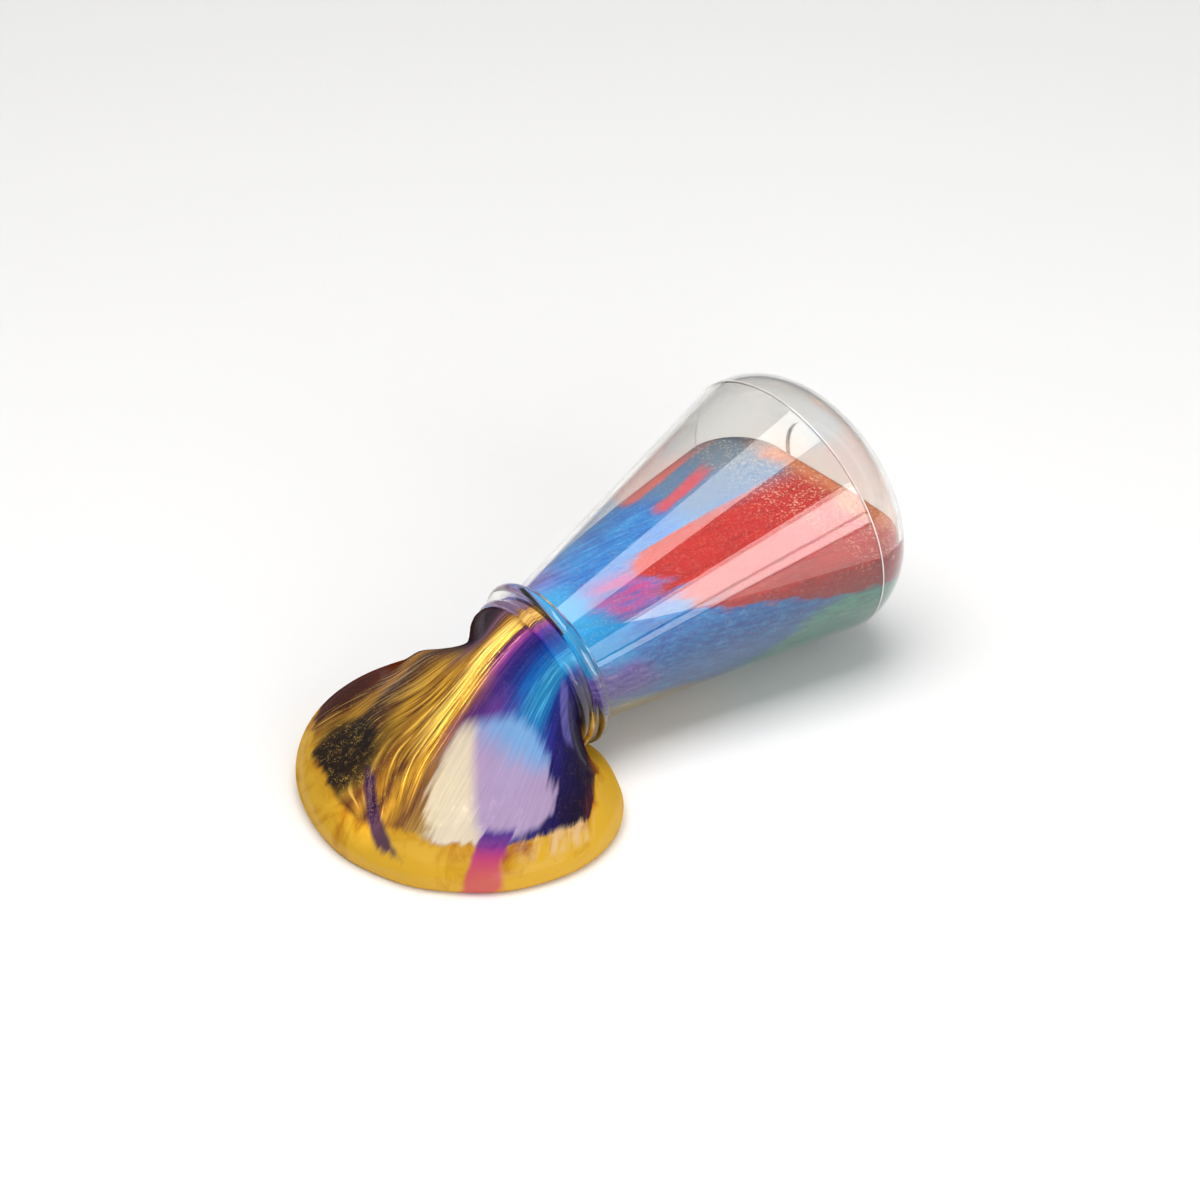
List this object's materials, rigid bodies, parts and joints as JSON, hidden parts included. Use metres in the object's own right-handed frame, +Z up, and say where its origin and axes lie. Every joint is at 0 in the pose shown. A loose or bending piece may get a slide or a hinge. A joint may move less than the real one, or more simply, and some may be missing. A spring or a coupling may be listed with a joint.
{
  "type": "slime jar",
  "caption": "Clear cone-shaped toy jar lying on its side, with metallic slime in several colours pouring from its mouth into a puddle.",
  "frame": {"origin": "the point on the table right under the centre of the jar's mouth", "axes": "+X along the table from the mouth towards the jar's base, +Z up, so the puddle lies on the -X side"},
  "size_m": [0.1632, 0.0868, 0.0693],
  "materials": {
    "clear_plastic": "gloss",
    "clear_plastic_cup": "gloss",
    "green_slime": "gloss",
    "red_slime": "gloss",
    "blue_slime": "gloss",
    "purple_slime": "gloss",
    "gold_slime": "gloss"
  },
  "bodies": {
    "root": {"jar_cone": "clear_plastic", "base_cup": "clear_plastic_cup", "slime_green": "green_slime", "slime_red": "red_slime", "slime_blue": "blue_slime", "slime_purple": "purple_slime", "slime_gold": "gold_slime"}
  },
  "joints": []
}
